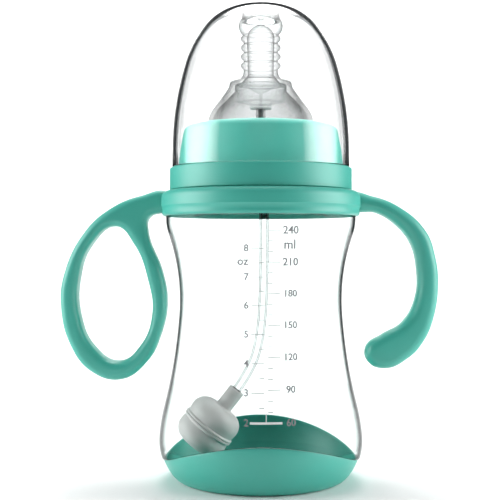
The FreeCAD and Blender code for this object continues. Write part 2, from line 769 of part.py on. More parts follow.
def dust_cap():
    body = new_body("dust_cap")
    revolve(body, "outside", [
        ("0", CAP_LOW),
        (CAP_RADIUS, CAP_LOW),
        (CAP_RADIUS, CAP_SIDE),
        (CAP_CHEEK, CAP_CHEEK_HEIGHT, "arc"),
        (CAP_BROW, CAP_BROW_HEIGHT, "arc"),
        ("<cap_crown_radius>", CAP_TOP, "arc"),
        ("0", CAP_TOP),
    ])
    revolve(body, "inside", [
        ("0", f"{CAP_LOW} - 1"),
        (f"{CAP_RADIUS} - <cap_wall>", f"{CAP_LOW} - 1"),
        (f"{CAP_RADIUS} - <cap_wall>", CAP_SIDE),
        (f"{CAP_CHEEK} - <cap_wall>", f"{CAP_CHEEK_HEIGHT} - <cap_wall> * 0.2", "arc"),
        (f"{CAP_BROW} - <cap_wall> * 0.9", f"{CAP_BROW_HEIGHT} - <cap_wall> * 0.5", "arc"),
        ("<cap_crown_radius>", f"{CAP_TOP} - <cap_wall>", "arc"),
        ("0", f"{CAP_TOP} - <cap_wall>"),
    ], "PartDesign::Groove")
    ring_low = f"{CAP_TOP} - <cap_wall> - <cap_ring_depth>"
    revolve(body, "seal_ring", [
        (f"{CAP_RING} - <cap_ring_wall>", ring_low),
        (CAP_RING, ring_low),
        (CAP_RING, f"{CAP_TOP} - <cap_wall> * 0.6"),
        (f"{CAP_RING} - <cap_ring_wall>", f"{CAP_TOP} - <cap_wall> * 0.6"),
    ])
    revolve(body, "dimple", [
        ("0", f"{CAP_TOP} - <cap_dimple_depth>"),
        ("<cap_dimple>", f"{CAP_TOP} - <cap_dimple_depth>"),
        ("<cap_dimple>", f"{CAP_TOP} + 1"),
        ("0", f"{CAP_TOP} + 1"),
    ], "PartDesign::Groove")
    return body


def main():
    fill_sheet()
    pieces = [
        bottle_body(), base_cup(), handle_frame(), collar(), teat(), straw_connector(), straw(),
        weight_upper_shell(), weight_lower_shell(), weight_core(), dust_cap(),
    ]
    DOC.recompute()
    for thing in DOC.Objects:
        if {"Invalid", "Error"} & set(thing.State):
            raise RuntimeError(f"{thing.Label} failed: {thing.State}")
    for piece in pieces:
        if piece.Shape.isNull() or not piece.Shape.isValid() or len(piece.Shape.Solids) != 1:
            raise RuntimeError(f"{piece.Label} is not one valid solid")
    os.makedirs("parts", exist_ok=True)
    for piece in pieces:
        piece.Shape.exportStep(f"parts/{piece.Label}.step")
        box = piece.Shape.optimalBoundingBox(False)
        print(f"{piece.Label}: {piece.Shape.Volume:.0f} mm3, x {box.XMin:.2f}..{box.XMax:.2f}, "
              f"y {box.YMin:.2f}..{box.YMax:.2f}, z {box.ZMin:.2f}..{box.ZMax:.2f}")


main()
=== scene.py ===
"""Baby bottle: the finished pieces, materials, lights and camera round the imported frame."""
import math

import bmesh
import bpy
import numpy
from mathutils import Matrix, Vector


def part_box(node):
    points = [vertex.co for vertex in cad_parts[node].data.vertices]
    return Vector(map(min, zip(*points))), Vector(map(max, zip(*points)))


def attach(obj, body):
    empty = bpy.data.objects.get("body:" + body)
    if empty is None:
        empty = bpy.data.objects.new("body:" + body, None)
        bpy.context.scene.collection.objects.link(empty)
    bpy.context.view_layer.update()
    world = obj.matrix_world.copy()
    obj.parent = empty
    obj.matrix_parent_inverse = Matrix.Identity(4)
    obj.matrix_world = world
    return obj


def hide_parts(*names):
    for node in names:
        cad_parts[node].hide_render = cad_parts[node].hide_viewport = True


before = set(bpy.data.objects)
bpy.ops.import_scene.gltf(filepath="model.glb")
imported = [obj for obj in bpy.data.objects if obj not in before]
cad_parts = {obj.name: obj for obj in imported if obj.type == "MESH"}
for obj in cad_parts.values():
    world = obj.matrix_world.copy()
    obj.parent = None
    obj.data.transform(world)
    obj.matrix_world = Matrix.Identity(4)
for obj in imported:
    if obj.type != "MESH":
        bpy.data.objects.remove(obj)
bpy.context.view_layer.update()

bl_info = {
    "name": "Baby bottle",
    "version": (1, 0, 0),
    "blender": (4, 5, 0),
    "location": "View3D > Sidebar > Bottle",
    "description": "Builds a clear baby bottle with handles, teat, travel cap and weighted straw",
    "category": "Add Mesh",
}

MM = 0.001
BODY_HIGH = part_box("bottle_body")[1]
RING_LOW, RING_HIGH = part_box("handle_frame")
COLLAR_LOW, COLLAR_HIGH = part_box("collar")
TEAT_LOW, TEAT_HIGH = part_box("teat")
CAP_LOW, CAP_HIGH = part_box("dust_cap")
PLUG_LOW, PLUG_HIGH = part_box("straw_connector")
ROUND_STEPS = 4
TURN_STEPS = 224
THREAD_TURNS = 1.5
THREAD_SINK = 0.3 * MM


def length(name, description, millimetres):
    return bpy.props.FloatProperty(
        name=name, description=description, default=millimetres * MM, unit="LENGTH", precision=5
    )


def colour(name, description, red, green, blue):
    return bpy.props.FloatVectorProperty(
        name=name, description=description, default=(red, green, blue), subtype="COLOR",
        size=3, min=0, max=1,
    )


class BottleSizes(bpy.types.PropertyGroup):
    """Sizes that a user would change."""

    edge_round: length("Edge rounding", "Radius on the moulded edges", 0.35)
    body_wall: length("Body wall", "Thickness of the clear body", 1.5)
    belly_radius: length("Belly radius", "Half width of the body at its fullest", 36.8)
    belly_height: length("Belly height", "Height of the fullest place", 16.0)
    waist_radius: length("Waist radius", "Half width of the body at its narrowest", 29.7)
    waist_height: length("Waist height", "Height of the narrowest place", 59.0)
    shoulder_radius: length("Shoulder radius", "Half width of the body under the ring", 34.3)
    shoulder_top: length("Shoulder top", "Height of the body's flat shoulder", 96.8)
    neck_radius: length("Neck radius", "Outer radius of the neck below its thread", 24.6)
    neck_wall: length("Neck wall", "Thickness of the neck", 1.8)
    thread_pitch: length("Thread pitch", "Rise of the neck thread in one turn", 5.0)
    thread_depth: length("Thread depth", "Height of the thread above the neck", 1.1)
    thread_start: length("Thread start", "Height where the neck thread starts", 110.0)
    cup_wall: length("Cup wall", "Thickness of the base cup", 1.0)
    cup_inset: length("Cup inset", "Step from the body's face in to the cup's", 0.5)
    cup_edge_front: length("Cup edge, front", "Height of the wavy edge at the front and back", 17.5)
    cup_edge_side: length("Cup edge, sides", "Height of the wavy edge under the handles", 7.5)
    ring_height: length("Ring height", "Height of the handle ring", 9.2)
    ring_skirt: length("Ring skirt", "How far the ring hangs down round the shoulder", 2.0)
    land_radius: length("Land radius", "Radius that the handle ring turns on", 28.0)
    handle_root: length("Handle root", "How far out the handles start inside the ring", 33.0)
    loop_depth: length("Loop depth", "Front to back thickness of the closed handle", 11.0)
    hook_depth: length("Hook depth", "Front to back thickness of the open handle", 10.0)
    straw_outer: length("Straw diameter", "Outer diameter of the straw", 3.4)
    straw_bore: length("Straw bore", "Inner diameter of the straw", 2.2)
    mark_proud: length("Mark height", "How far the measure marks stand out", 0.12)
    mark_width: length("Mark width", "Line width of the measure marks", 0.28)
    ml_pitch: length("10 ml pitch", "Height that 10 ml takes up", 3.55)
    oz_pitch: length("Ounce pitch", "Height that one ounce takes up", 9.65)
    scale_base: length("Scale base", "Height of the lowest mark", 25.5)


class BottleColours(bpy.types.PropertyGroup):
    """Colours that a user would change."""

    mint: colour("Mint", "Collar, handles and base cup", 0.055, 0.44, 0.355)
    body_tint: colour("Body tint", "Clear body", 0.965, 0.99, 0.985)
    cap_tint: colour("Cap tint", "Clear travel cap", 0.98, 0.99, 0.99)
    silicone_tint: colour("Silicone tint", "Teat and straw", 0.96, 0.97, 0.96)
    weight_grey: colour("Weight grey", "Weighted end of the straw", 0.66, 0.61, 0.61)
    # Numeral grey: painted shade that stands in for the dark edges of the clear moulded numerals.
    print_grey: colour("Print grey", "Measure numerals", 0.25, 0.25, 0.26)


def sizes():
    return bpy.context.scene.bottle_sizes


def colours():
    return bpy.context.scene.bottle_colours


# Shader nodes


class Term:
    """A shader value that Python's operators work on, one Math node for each."""

    def __init__(self, shader, socket):
        self.shader = shader
        self.socket = socket

    def maths(self, operation, *values):
        settings = {"operation": operation}
        return self.shader.node("ShaderNodeMath", settings, dict(enumerate(values)))

    def __add__(self, other):
        return self.maths("ADD", self, other)

    def __sub__(self, other):
        return self.maths("SUBTRACT", self, other)

    def __rsub__(self, other):
        return self.maths("SUBTRACT", other, self)

    def __mul__(self, other):
        return self.maths("MULTIPLY", self, other)

    def __pow__(self, other):
        return self.maths("POWER", self, other)

    __radd__ = __add__
    __rmul__ = __mul__


class Shader:
    """A material, or the owner of another node tree, and the one way its nodes are made."""

    def __init__(self, name, owner=None):
        self.owner = owner or bpy.data.materials.new(name)
        self.owner.use_nodes = True
        self.tree = self.owner.node_tree
        self.tree.nodes.clear()

    def node(self, kind, settings=None, sockets=None, output=0):
        """Makes a node, settings first, then its sockets' values or links. Returns an output."""
        made = self.tree.nodes.new(kind)
        for key, value in (settings or {}).items():
            setattr(made, key, value)
        for key, value in (sockets or {}).items():
            if isinstance(value, Term):
                self.tree.links.new(value.socket, made.inputs[key])
            else:
                made.inputs[key].default_value = value
        return Term(self, made.outputs[output]) if made.outputs else made

    def place(self):
        return self.node("ShaderNodeTexCoord", output="Object")

    def part_of(self, vector, axis):
        return self.node("ShaderNodeSeparateXYZ", {}, {"Vector": vector}, output=axis)

    def looked_along(self):
        """0 where the surface faces the eye, and 1 where it is seen edge on."""
        return self.node("ShaderNodeLayerWeight", {}, {"Blend": 0.5}, output="Facing")

    def ramp(self, value, start, end, first=0.0, last=1.0):
        """Goes smoothly from first to last as value goes from start to end."""
        return self.node("ShaderNodeMapRange", {"interpolation_type": "SMOOTHSTEP"}, {
            "Value": value, "From Min": start, "From Max": end, "To Min": first, "To Max": last,
        }, output="Result")

    def noise(self, scale, detail=2.0, roughness=0.5, stretch=(1, 1, 1)):
        """A grey noise, so many features to the metre, stretched by a Mapping node."""
        mapped = self.node("ShaderNodeMapping", {}, {"Vector": self.place(), "Scale": stretch})
        return self.node("ShaderNodeTexNoise", {"noise_dimensions": "3D"}, {
            "Vector": mapped, "Scale": scale, "Detail": detail, "Roughness": roughness,
        })

    def between(self, factor, first, second):
        """A colour that goes from first to second as factor goes from 0 to 1."""
        return self.node("ShaderNodeMix", {"data_type": "RGBA"}, {
            "Factor": factor, 6: (*first, 1), 7: (*second, 1),
        }, output=2)

    def bump(self, height, depth, strength=1.0):
        return self.node("ShaderNodeBump", {}, {
            "Height": height, "Distance": depth, "Strength": strength,
        })

    def covered(self, tint, cover, surface):
        """A clear tinted pane, with the surface over it as far as cover says."""
        clear = self.node("ShaderNodeBsdfTransparent", {}, {"Color": (*tint, 1)})
        return self.node("ShaderNodeMixShader", {}, {0: cover, 1: clear, 2: surface})

    def lets_lamps_through(self, surface):
        """Glass for the eye, and a clear pane for the light that falls on what is inside."""
        shadow = self.node("ShaderNodeLightPath", output="Is Shadow Ray")
        open_pane = self.node("ShaderNodeBsdfTransparent", {}, {"Color": (1, 1, 1, 1)})
        return self.node("ShaderNodeMixShader", {}, {0: shadow, 1: surface, 2: open_pane})

    def finish(self, surface):
        self.node("ShaderNodeOutputMaterial", {}, {"Surface": surface})
        return self.owner


def scaled(shade, factor):
    return tuple(min(1.0, part * factor) for part in shade)


def mint_plastic():
    """Opaque satin moulding: faint flow clouding, fine mould grain and a few wiped-in streaks."""
    shader = Shader("mint_plastic")
    mint = tuple(colours().mint)
    cloud = shader.noise(38, 3)
    grain = shader.noise(2600, 2)
    streak = shader.noise(160, 4, stretch=(1, 1, 6))
    surface = shader.node("ShaderNodeBsdfPrincipled", {}, {
        "Base Color": shader.between(cloud, scaled(mint, 0.95), scaled(mint, 1.05)),
        "Roughness": 0.36 + 0.08 * cloud + 0.06 * streak,
        "Specular IOR Level": 0.6,
        "Coat Weight": 0.12,
        "Coat Roughness": 0.3,
        "Normal": shader.bump(grain + 0.4 * cloud, 0.004 * MM),
    })
    return shader.finish(surface)


def clear_plastic(name, tint, index):
    """See-through moulding with faint haze and fine wipe marks on its polish."""
    shader = Shader(name)
    haze = shader.noise(90, 4, stretch=(1, 1, 0.35))
    wipe = shader.noise(900, 2, stretch=(1, 1, 0.08))
    surface = shader.node("ShaderNodeBsdfPrincipled", {}, {
        "Base Color": shader.between(haze, scaled(tint, 0.995), tint),
        "Roughness": 0.012 * wipe * haze,
        "IOR": index,
        "Transmission Weight": 1.0,
    })
    return shader.finish(shader.lets_lamps_through(surface))


def clear_pane(name, tint):
    """Thin clear wall: nothing behind it bends. Where it is looked along it is covered with near-black
    paint, a painted shade that stands in for the dark edge a bent clear wall shows.
    """
    shader = Shader(name)
    haze = shader.noise(90, 4, stretch=(1, 1, 0.35))
    outer = shader.node("ShaderNodeAttribute", {"attribute_name": "outer_face"}, output="Fac")
    # Near-black wall colour: painted shade, laid over the clear pane to draw the wall's dark rim.
    wall = shader.node("ShaderNodeBsdfPrincipled", {}, {
        "Base Color": shader.between(haze, (0.01, 0.018, 0.018), (0.016, 0.026, 0.026)),
        "Roughness": 0.1 + 0.06 * haze,
        "Specular IOR Level": 0.06,
    })
    # Painted shade: the near-black cover grows where the wall is seen edge on, and is strongest on the
    # outer face.
    edge = shader.ramp(shader.looked_along(), 0.62, 0.84)
    cover = 0.012 + 0.006 * haze + (0.08 + 0.87 * outer) * edge
    return shader.finish(shader.covered(tint, cover, wall))


def frosted_plastic(name):
    """Nearly clear in the plug; below it an opaque pale stem, a painted highlight that stands in for
    the white glint at the straw's top.
    """
    shader = Shader(name)
    cloud = shader.noise(160, 3)
    stem = shader.ramp(shader.part_of(shader.place(), "Z"), 132 * MM, 136 * MM, 1.0, 0.0)
    pale = shader.node("ShaderNodeBsdfPrincipled", {}, {
        "Base Color": shader.between(cloud, (0.5, 0.56, 0.55), (0.56, 0.62, 0.61)),
        "Roughness": 0.3 + 0.1 * cloud,
    })
    # Painted highlight: the pale stem is fully covered below the plug, and the plug is a little paler
    # where it is looked along.
    cover = 0.1 + 0.35 * shader.looked_along() ** 3 + 0.9 * stem
    return shader.finish(shader.covered((0.98, 0.985, 0.985), cover, pale))


def silicone(name, flange_grey, edge, power):
    """Clear soft rubber: see-through, with painted shade where it is looked along (a near-black rim
    that stands in for the dark edge of the bent rubber wall), and greyer towards the teat's flange by
    the amount in the second argument."""
    shader = Shader(name)
    tint = tuple(colours().silicone_tint)
    cloud = shader.noise(120, 3)
    # Near-black rubber colour laid over the clear pane: painted shade at the rim, and a plain darker
    # grey towards the flange.
    rubber = shader.node("ShaderNodeBsdfPrincipled", {}, {
        "Base Color": shader.between(cloud, scaled(tint, 0.06), scaled(tint, 0.08)),
        "Roughness": 0.2 + 0.1 * cloud,
        "Specular IOR Level": 0.1,
    })
    low = shader.ramp(shader.part_of(shader.place(), "Z"), 128 * MM, 142 * MM, 1.0, 0.25)
    # Painted shade: more near-black rubber where the rubber is looked along, and a plain darker grey
    # towards the flange.
    cover = flange_grey * low + edge * shader.looked_along() ** power
    return shader.finish(shader.covered((0.99, 0.993, 0.993), cover, rubber))


def weight_plastic():
    """Matt grey moulding, slightly mottled, with a fine spark-eroded grain."""
    shader = Shader("weight_plastic")
    grey = tuple(colours().weight_grey)
    mottle = shader.noise(240, 5, 0.6)
    grain = shader.noise(3800, 2)
    surface = shader.node("ShaderNodeBsdfPrincipled", {}, {
        "Base Color": shader.between(mottle, scaled(grey, 0.88), scaled(grey, 1.1)),
        "Roughness": 0.42 + 0.14 * mottle,
        "Normal": shader.bump(grain + 1.5 * mottle, 0.012 * MM),
    })
    return shader.finish(surface)


def core_steel():
    """Turned stainless steel: rings of fine tool marks round the core."""
    shader = Shader("core_steel")
    marks = shader.noise(2200, 2, stretch=(0.05, 0.05, 1))
    surface = shader.node("ShaderNodeBsdfPrincipled", {}, {
        "Base Color": shader.between(marks, (0.5, 0.51, 0.52), (0.66, 0.67, 0.68)),
        "Metallic": 1.0,
        "Roughness": 0.22 + 0.16 * marks,
        "Normal": shader.bump(marks, 0.01 * MM),
    })
    return shader.finish(surface)


def mark_paint(name, shade):
    """Paint on the clear moulded marks, slightly uneven: grey paint is painted shade and white paint a
    painted highlight, both standing in for how the proud ridges bend light.
    """
    shader = Shader(name)
    cover = shader.noise(1400, 3)
    surface = shader.node("ShaderNodeBsdfPrincipled", {}, {
        "Base Color": shader.between(cover, scaled(shade, 0.85), scaled(shade, 1.15)),
        "Roughness": 0.45 + 0.2 * cover,
    })
    return shader.finish(surface)


def stage_paper():
    """Seamless white paper with a barely visible tooth."""
    shader = Shader("stage_paper")
    tooth = shader.noise(700, 3)
    surface = shader.node("ShaderNodeBsdfPrincipled", {}, {
        "Base Color": shader.between(tooth, (0.93, 0.93, 0.93), (0.96, 0.96, 0.96)),
        "Roughness": 0.9,
        "Normal": shader.bump(tooth, 0.02 * MM),
    })
    return shader.finish(surface)


# Outlines and meshes


def turned(heading, angle):
    return Vector((
        heading.x * math.cos(angle) - heading.y * math.sin(angle),
        heading.x * math.sin(angle) + heading.y * math.cos(angle),
    ))


def carried_arc(start, heading, end, steps=12):
    """Points after start on the arc that leaves along heading and ends at end."""
    chord = end - start
    side = Vector((-heading.y, heading.x))
    half = math.atan2(chord.dot(side), chord.dot(heading))
    if abs(half) < 1e-6:
        return [start.lerp(end, step / steps) for step in range(1, steps + 1)], heading
    centre = start + side * (chord.length_squared / (2 * chord.dot(side)))
    points = [centre + turned(start - centre, 2 * half * step / steps) for step in range(1, steps + 1)]
    return points, turned(heading, 2 * half)


def trace(*points, rounding=None):
    """The outline through (radius, height) points, as a list of close points. A point with a
    third word, "arc", is reached by an arc that carries straight on from the edge before it, and
    every real corner away from the axis gets a small round."""
    places = [Vector(point[:2]) for point in points]
    line = [places[0]]
    heading = None
    for place, point in zip(places[1:], points[1:]):
        if len(point) > 2:
            arc, heading = carried_arc(line[-1], heading, place)
            line.extend(arc)
        else:
            heading = (place - line[-1]).normalized()
            line.append(place)
    return rounded(line, sizes().edge_round if rounding is None else rounding)


def rounded(line, radius):
    """The same line with a small round on each of its corners."""
    smooth = [line[0]]
    for before, corner, after in zip(line, line[1:], line[2:]):
        turn = (corner - before).angle(after - corner, 0)
        if turn < math.radians(14):
            smooth.append(corner)
            continue
        most = 0.45 * min((corner - before).length, (after - corner).length)
        reach = min(most, radius * math.tan(turn / 2))
        first = corner + (before - corner).normalized() * reach
        last = corner + (after - corner).normalized() * reach
        for step in range(ROUND_STEPS + 1):
            part = step / ROUND_STEPS
            smooth.append(first.lerp(corner, part).lerp(corner.lerp(last, part), part))
    return [*smooth, line[-1]]


def mesh_piece(name, bm, material, smooth=40):
    """Makes an object of a closed bmesh: doubles merged, faces outwards, smooth but for edges."""
    bmesh.ops.remove_doubles(bm, verts=bm.verts, dist=1e-6)
    bmesh.ops.dissolve_degenerate(bm, edges=bm.edges, dist=1e-7)
    loose = [edge for edge in bm.edges if not edge.link_faces]
    bmesh.ops.delete(bm, geom=loose, context="EDGES")
    bmesh.ops.recalc_face_normals(bm, faces=bm.faces)
    mesh = bpy.data.meshes.new(name)
    bm.to_mesh(mesh)
    bm.free()
    mesh.shade_smooth()
    mesh.set_sharp_from_angle(angle=math.radians(smooth))
    mesh.materials.append(material)
    piece = bpy.data.objects.new(name, mesh)
    bpy.context.scene.collection.objects.link(piece)
    return piece


def add_lathe(bm, outline_at, steps=TURN_STEPS):
    """Turns an outline once round Z. outline_at gives the outline's points at an angle."""
    rings = []
    for step in range(steps):
        angle = math.tau * step / steps
        across, along = math.cos(angle), math.sin(angle)
        points = outline_at(angle)
        rings.append([bm.verts.new((x * across, x * along, z)) for x, z in points])
    count = len(rings[0])
    for first, second in zip(rings, [*rings[1:], rings[0]]):
        for place in range(count):
            after = (place + 1) % count
            bm.faces.new((first[place], second[place], second[after], first[after]))


def lathe(name, outline, material, steps=TURN_STEPS):
    bm = bmesh.new()
    add_lathe(bm, lambda angle: outline, steps)
    return mesh_piece(name, bm, material)


def add_thread(bm, radius, depth, start, pitch, turns, sink):
    """A blunt helical ridge on a wall, with ends that run out into it. A negative depth points
    it at the axis."""
    steps = int(turns * 96)
    rings = []
    for step in range(steps + 1):
        angle = math.tau * turns * step / steps
        height = start + pitch * turns * step / steps
        run_out = min(1.0, 12 * step / steps, 12 * (1 - step / steps))
        crest = radius + depth * run_out
        root = radius - sink
        section = [
            (root, height - 1.0 * MM), (crest, height - 0.5 * MM),
            (crest, height + 0.5 * MM), (root, height + 1.0 * MM),
        ]
        rings.append([bm.verts.new((r * math.cos(angle), r * math.sin(angle), z)) for r, z in section])
    for first, second in zip(rings, rings[1:]):
        for place in range(4):
            after = (place + 1) % 4
            bm.faces.new((first[place], second[place], second[after], first[after]))
    bm.faces.new(rings[0])
    bm.faces.new(reversed(rings[-1]))


def settle(piece, body, slot, *nodes):
    """Rides the piece on its body and hides the solids it stands for."""
    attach(piece, body)
    if nodes:
        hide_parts(*nodes)
    return piece


# The body and its cup


def body_side(inset=0.0):
    """The clear body's side from the cup's heel to the shoulder, moved in by inset."""
    s = sizes()
    return trace(
        (28.4 * MM - inset, 0),
        (28.5 * MM - inset, 0),
        (32.2 * MM - inset, 1.7 * MM, "arc"),
        (s.belly_radius - inset, s.belly_height, "arc"),
        (34.95 * MM - inset, 27 * MM, "arc"),
        (s.waist_radius - inset, s.waist_height, "arc"),
        (33.5 * MM - inset, 88.5 * MM, "arc"),
        (s.shoulder_radius - inset, s.shoulder_top - 0.8 * MM, "arc"),
    )


def radius_at(side, height):
    """The radius of a side, which only climbs, at a height."""
    return float(numpy.interp(height, [point.y for point in side], [point.x for point in side]))


def wave_height(angle):
    """The height of the cup's wavy edge: a long cylinder lying along Y cuts it."""
    s = sizes()
    rise = s.cup_edge_front - s.cup_edge_side
    reach = s.belly_radius - s.cup_inset
    wave_radius = (reach ** 2 + rise ** 2) / (2 * rise)
    across = reach * math.cos(angle)
    return s.cup_edge_front - wave_radius + math.sqrt(wave_radius ** 2 - across ** 2)


def thinned(point, side, edge):
    """A point of the room's wall, moved out to one wall's thickness once it is above the cup."""
    s = sizes()
    above = min(1.0, max(0.0, (point.y - edge - 0.8 * MM) / (2.2 * MM)))
    share = above * above * (3 - 2 * above)
    full = radius_at(side, point.y) - s.body_wall
    if point.y > 34 * MM or full < point.x or point.x < 20 * MM:
        return point
    return Vector((point.x + (full - point.x) * share, point.y))


def between_heights(low, high, count):
    return [low + (high - low) * step / count for step in range(count + 1)]


def make_body():
    s = sizes()
    side = body_side()
    neck_top = BODY_HIGH.z
    ring_top = RING_HIGH.z
    bore = s.neck_radius - s.neck_wall
    seat_inset = s.cup_inset + s.cup_wall + 0.05 * MM
    room = s.belly_radius - seat_inset - s.body_wall
    floor_top = 8.5 * MM
    roof = s.shoulder_top - 1.2 * s.body_wall
    top = trace(
        (s.shoulder_radius, s.shoulder_top - 1.2 * MM),
        (s.shoulder_radius - 0.8 * MM, s.shoulder_top),
        (s.land_radius, s.shoulder_top),
        (s.land_radius, ring_top),
        (s.neck_radius, ring_top),
        (s.neck_radius, neck_top),
        (bore, neck_top),
        (bore, s.shoulder_top),
        (bore + s.body_wall, roof),
    )
    inside = trace(
        (0, floor_top),
        (room - (s.belly_height - floor_top), floor_top),
        (room, s.belly_height, "arc"),
        (room, 22.3 * MM),
        (32.7 * MM, 29 * MM, "arc"),
        (s.waist_radius - s.body_wall, s.waist_height, "arc"),
        (33.5 * MM - s.body_wall, 88.5 * MM, "arc"),
        (s.shoulder_radius - s.body_wall, roof - 1.2 * MM, "arc"),
        (s.shoulder_radius - s.body_wall - 1.2 * MM, roof),
        (bore + s.body_wall + 0.1 * MM, roof),
    )
    foot = trace((29 * MM, 2 * MM), (22.8 * MM, 2 * MM), (20.8 * MM, 6.1 * MM), (0, 6.1 * MM))

    def outline(angle):
        edge = wave_height(angle)
        lip = radius_at(side, edge)
        heights = between_heights(edge + 0.5 * MM, s.shoulder_top - 1.3 * MM, 96)
        outer = [Vector((radius_at(side, z), z)) for z in reversed(heights)]
        rim = [
            Vector((lip - 0.05 * MM, edge + 0.2 * MM)),
            Vector((lip - 0.3 * MM, edge + 0.05 * MM)),
        ]
        heights = between_heights(3.2 * MM, edge + 0.05 * MM, 10)
        seat = [Vector((radius_at(side, z) - seat_inset, z)) for z in reversed(heights)]
        thin = [thinned(point, side, edge) for point in inside]
        return [*thin, *reversed(top), *outer, *rim, *seat, *foot]

    bm = bmesh.new()
    add_lathe(bm, outline, 288)
    add_thread(bm, s.neck_radius, s.thread_depth, s.thread_start, s.thread_pitch,
               THREAD_TURNS, THREAD_SINK)
    tint = tuple(colours().body_tint)
    body = mesh_piece("clear_body", bm, clear_pane("clear_body", tint))
    # outer_face marks the outer side, where the painted dark rim is strongest.
    outer = body.data.attributes.new("outer_face", "FLOAT", "POINT")
    for vertex, mark in zip(body.data.vertices, outer.data):
        x, y, z = vertex.co
        on_side = math.hypot(x, y) > radius_at(side, z) - s.body_wall / 2
        mark.value = float(on_side and z < s.shoulder_top - 1 * MM)
    settle(body, "bottle", "clear_body", "bottle_body")


def make_cup():
    s = sizes()
    side = body_side(s.cup_inset)
    heel = trace((0, 0), (28.2 * MM, 0), (31.55 * MM, 1.6 * MM, "arc"))
    floor = trace((30.5 * MM, 2.6 * MM), (28.6 * MM, 2.0 * MM), (0, 2.0 * MM))

    def outline(angle):
        edge = wave_height(angle) - 0.1 * MM
        heights = between_heights(1.9 * MM, edge - 0.3 * MM, 40)
        outer = [Vector((radius_at(side, z), z)) for z in heights]
        inner = [Vector((radius_at(side, z) - s.cup_wall, z)) for z in heights if z > 0]
        lip = radius_at(side, edge)
        rim = [
            Vector((lip - 0.08 * MM, edge - 0.08 * MM)),
            Vector((lip - 0.3 * MM, edge)),
            Vector((lip - s.cup_wall + 0.2 * MM, edge)),
        ]
        return [*heel, *outer, *rim, *reversed(inner[6:]), *floor]

    bm = bmesh.new()
    add_lathe(bm, outline, 288)
    settle(mesh_piece("cup", bm, mint_plastic()), "bottle", "mint_plastic", "base_cup")


# Measure marks


def on_body(across, height, proud, side):
    """A point on the body's front face, across measured round it from the middle."""
    radius = radius_at(side, height) + proud
    angle = across / radius_at(side, height)
    return Vector((radius * math.sin(angle), -radius * math.cos(angle), height))


def wrap_on_body(mesh):
    """Lays a flat mesh, drawn in X and Z with Y as its depth, round the body's front."""
    side = body_side()
    for vertex in mesh.vertices:
        across, depth, height = vertex.co
        vertex.co = on_body(across, height, -depth, side)


def tick_tree():
    """Geometry nodes for a ladder of ticks: every so many is a long one."""
    tree = bpy.data.node_groups.new("measure_ticks", "GeometryNodeTree")
    for name, kind in (
        ("Count", "NodeSocketInt"), ("Pitch", "NodeSocketFloat"), ("Every", "NodeSocketInt"),
        ("First Long", "NodeSocketInt"), ("Long", "NodeSocketFloat"), ("Short", "NodeSocketFloat"),
        ("Width", "NodeSocketFloat"), ("Depth", "NodeSocketFloat"), ("Start", "NodeSocketVector"),
        ("Material", "NodeSocketMaterial"),
    ):
        tree.interface.new_socket(name, in_out="INPUT", socket_type=kind)
    tree.interface.new_socket("Geometry", in_out="OUTPUT", socket_type="NodeSocketGeometry")
    given = tree.nodes.new("NodeGroupInput").outputs

    def node(kind, sockets, **settings):
        made = tree.nodes.new(kind)
        for key, value in settings.items():
            setattr(made, key, value)
        for key, value in sockets.items():
            if isinstance(value, bpy.types.NodeSocket):
                tree.links.new(value, made.inputs[key])
            else:
                made.inputs[key].default_value = value
        return made.outputs

    step = node("ShaderNodeCombineXYZ", {"Z": given["Pitch"]})[0]
    line = node("GeometryNodeMeshLine", {
        "Count": given["Count"], "Start Location": given["Start"], "Offset": step,
    }, mode="OFFSET")[0]
    index = node("GeometryNodeInputIndex", {})[0]
    shifted = node("ShaderNodeMath", {0: index, 1: given["First Long"]}, operation="SUBTRACT")[0]
    rest = node("ShaderNodeMath", {0: shifted, 1: given["Every"]}, operation="FLOORED_MODULO")[0]
    is_short = node("ShaderNodeMath", {0: rest, 1: 0.5}, operation="GREATER_THAN")[0]
    reach = node("ShaderNodeMix", {0: is_short, 2: given["Long"], 3: given["Short"]})[0]
    bar = node("GeometryNodeMeshCube", {
        "Size": (1, 1, 1), "Vertices X": 9, "Vertices Y": 2, "Vertices Z": 3,
    })[0]
    from_end = node("GeometryNodeTransform", {"Geometry": bar, "Translation": (0.5, 0, 0)})[0]
    scale = node("ShaderNodeCombineXYZ", {"X": reach, "Y": given["Depth"], "Z": given["Width"]})[0]
    ticks = node("GeometryNodeInstanceOnPoints", {
        "Points": line, "Instance": from_end, "Scale": scale,
    })[0]
    solid = node("GeometryNodeRealizeInstances", {"Geometry": ticks})[0]
    done = node("GeometryNodeSetMaterial", {"Geometry": solid, "Material": given["Material"]})[0]
    result = tree.nodes.new("NodeGroupOutput")
    tree.links.new(done, result.inputs["Geometry"])
    return tree


def plain_mesh(carrier):
    """The evaluated mesh of an object, which is then removed."""
    bpy.context.view_layer.update()
    seen = carrier.evaluated_get(bpy.context.evaluated_depsgraph_get())
    mesh = bpy.data.meshes.new_from_object(seen)
    bpy.data.objects.remove(carrier)
    return mesh


def make_ticks(name, tree, material, **inputs):
    """A ladder of ticks as one plain mesh, wrapped round the body."""
    carrier = bpy.data.objects.new(name, bpy.data.meshes.new(name))
    bpy.context.scene.collection.objects.link(carrier)
    modifier = carrier.modifiers.new("ticks", "NODES")
    modifier.node_group = tree
    wanted = {key.replace("_", " ").title(): value for key, value in inputs.items()}
    wanted["Material"] = material
    for socket in tree.interface.items_tree:
        if socket.in_out == "INPUT":
            modifier[socket.identifier] = wanted[socket.name]
    mesh = plain_mesh(carrier)
    wrap_on_body(mesh)
    piece = bpy.data.objects.new(name, mesh)
    bpy.context.scene.collection.objects.link(piece)
    return settle(piece, "bottle", "clear_body")


